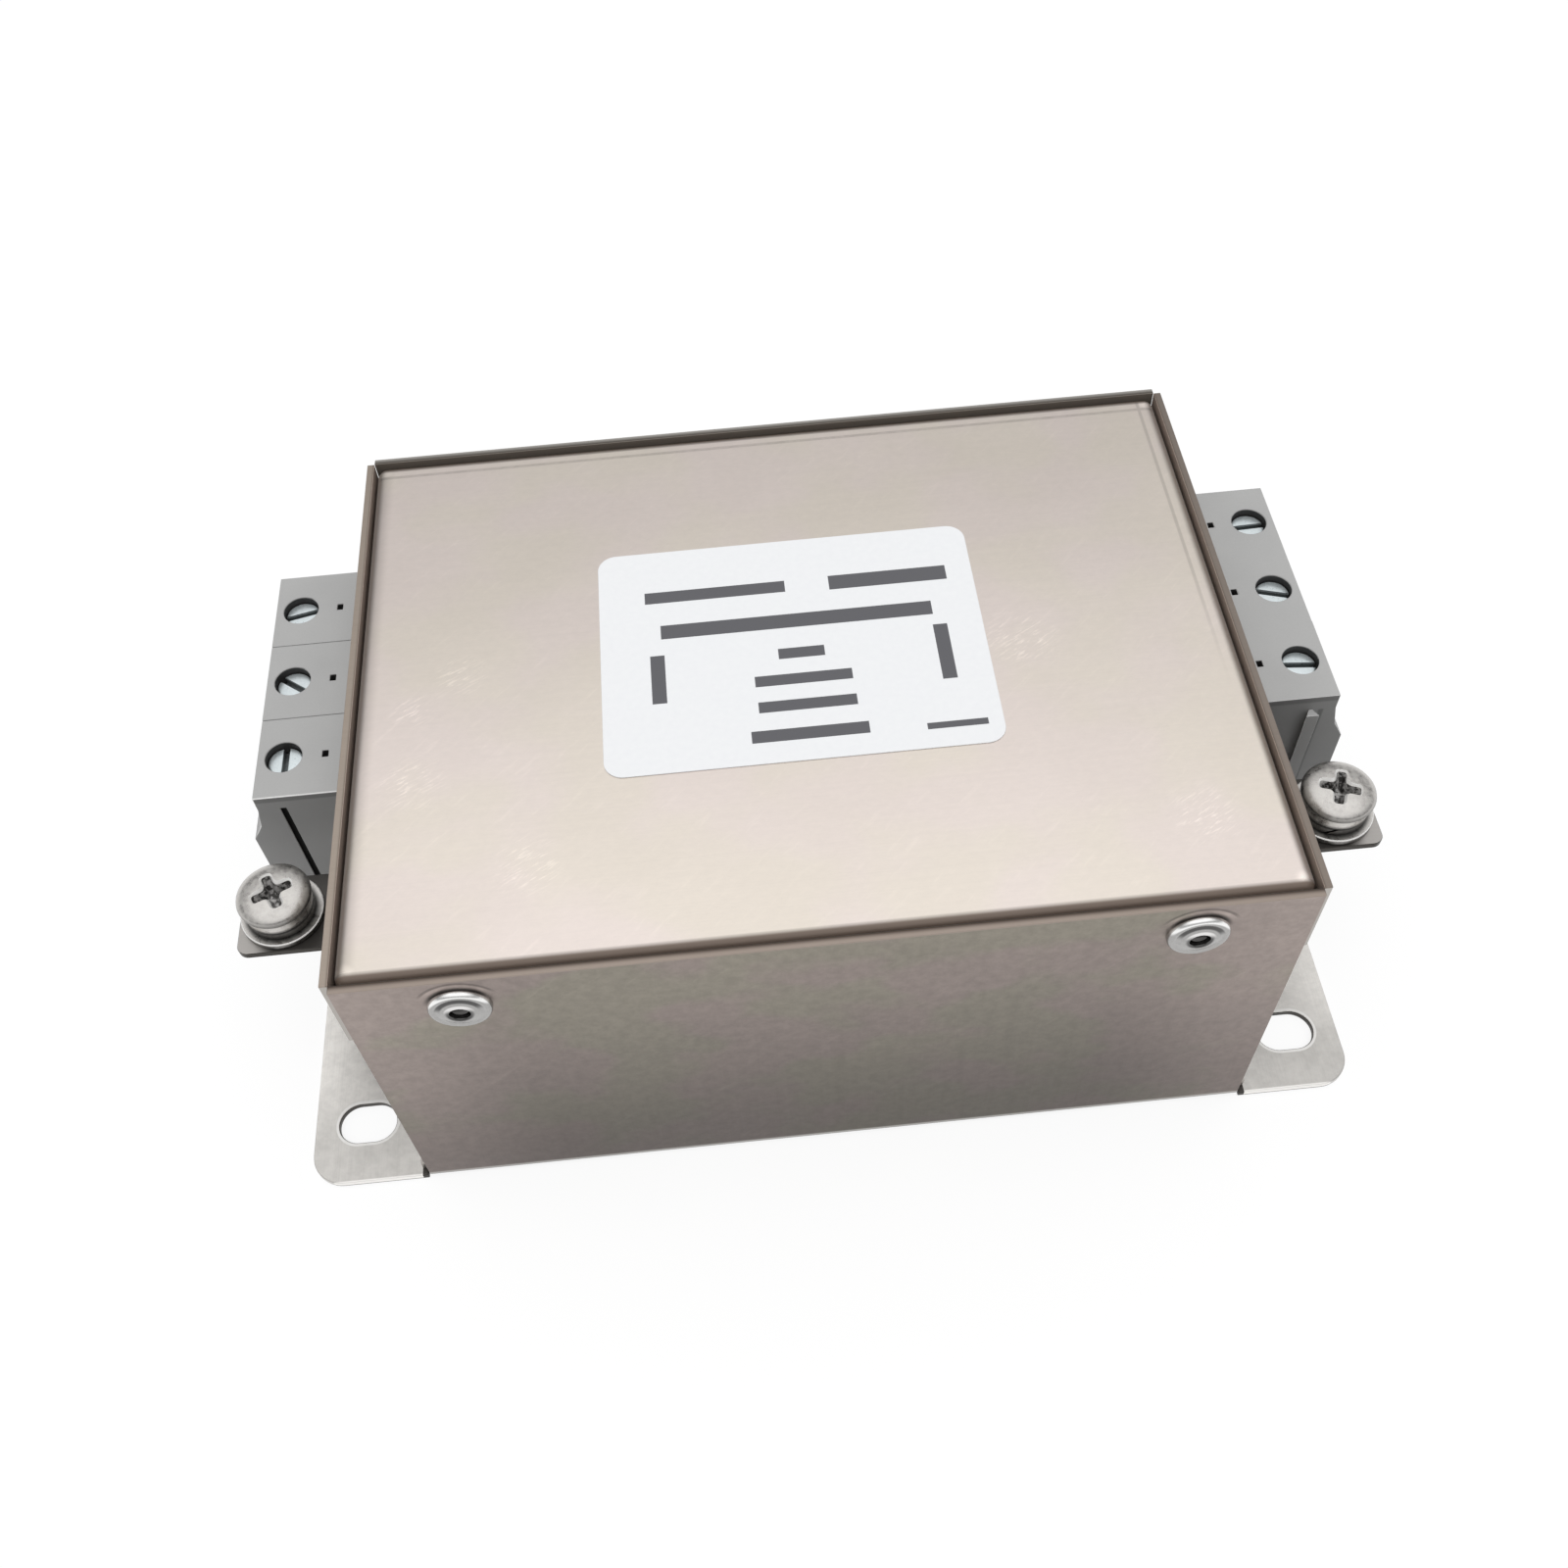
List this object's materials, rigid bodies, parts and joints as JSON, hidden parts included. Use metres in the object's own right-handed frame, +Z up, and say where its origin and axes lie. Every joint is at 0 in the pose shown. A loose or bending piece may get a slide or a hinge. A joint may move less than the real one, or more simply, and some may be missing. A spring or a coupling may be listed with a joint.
{
  "type": "three-phase line filter",
  "caption": "Mains interference filter in a folded sheet-steel case with slotted mounting flanges, a riveted lid, screw terminal blocks at both ends and earth screws on side tabs.",
  "frame": {"origin": "middle of the underside of the base, between the four slots", "axes": "+X along the case towards the load end, +Y towards the back wall, where the terminal blocks sit, +Z up through the lid"},
  "size_m": [0.1246, 0.072, 0.043],
  "materials": {
    "case_steel": "satin rolled stainless sheet, slightly warm, fine grain",
    "label_film": "plain white satin sticker",
    "rivet_aluminium": "bright drawn aluminium",
    "mandrel_steel": "dull grey steel, broken end",
    "terminal_plastic": "fine matt grey moulding",
    "screw_zinc": "bright zinc plate, faintly blue",
    "earth_nickel": "tumbled nickel plate",
    "cage_steel": "nickel-plated steel",
    "bar_brass": "tinned brass strip",
    "board_laminate": "green glass laminate",
    "film_plastic": "dark insulating film",
    "core_coating": "sintered ring with a matt coating",
    "winding_copper": "enamelled copper wire",
    "choke_plastic": "black moulding",
    "x_capacitor_case": "yellow potted box",
    "y_capacitor_coat": "blue dipped disc",
    "resistor_coat": "tan lacquer"
  },
  "bodies": {
    "root": {"base_channel": "case_steel", "load_end_plate": "case_steel", "line_end_plate": "case_steel", "lid": "case_steel", "lid_label": "label_film", "lid_rivets": "rivet_aluminium", "rivet_mandrels": "mandrel_steel", "clamp_screws": "screw_zinc", "earth_screws": "earth_nickel", "spring_washers": "earth_nickel", "flat_washers": "earth_nickel", "earth_nuts": "earth_nickel", "circuit_board": "board_laminate", "insulation_film": "film_plastic", "board_spacers": "bar_brass", "board_screws": "screw_zinc", "choke_core": "core_coating", "choke_base": "choke_plastic", "choke_divider": "choke_plastic", "line_terminal_1": "terminal_plastic", "line_clamp_cage_1": "cage_steel", "line_contact_bar_1": "bar_brass", "line_x_capacitor_1": "x_capacitor_case", "load_terminal_1": "terminal_plastic", "load_clamp_cage_1": "cage_steel", "load_contact_bar_1": "bar_brass", "load_x_capacitor_1": "x_capacitor_case", "choke_winding_1": "winding_copper", "y_capacitor_1": "y_capacitor_coat", "discharge_resistor_1": "resistor_coat", "line_terminal_2": "terminal_plastic", "line_clamp_cage_2": "cage_steel", "line_contact_bar_2": "bar_brass", "line_x_capacitor_2": "x_capacitor_case", "load_terminal_2": "terminal_plastic", "load_clamp_cage_2": "cage_steel", "load_contact_bar_2": "bar_brass", "load_x_capacitor_2": "x_capacitor_case", "choke_winding_2": "winding_copper", "y_capacitor_2": "y_capacitor_coat", "discharge_resistor_2": "resistor_coat", "line_terminal_3": "terminal_plastic", "line_clamp_cage_3": "cage_steel", "line_contact_bar_3": "bar_brass", "line_x_capacitor_3": "x_capacitor_case", "load_terminal_3": "terminal_plastic", "load_clamp_cage_3": "cage_steel", "load_contact_bar_3": "bar_brass", "load_x_capacitor_3": "x_capacitor_case", "choke_winding_3": "winding_copper", "y_capacitor_3": "y_capacitor_coat", "discharge_resistor_3": "resistor_coat"}
  },
  "joints": []
}
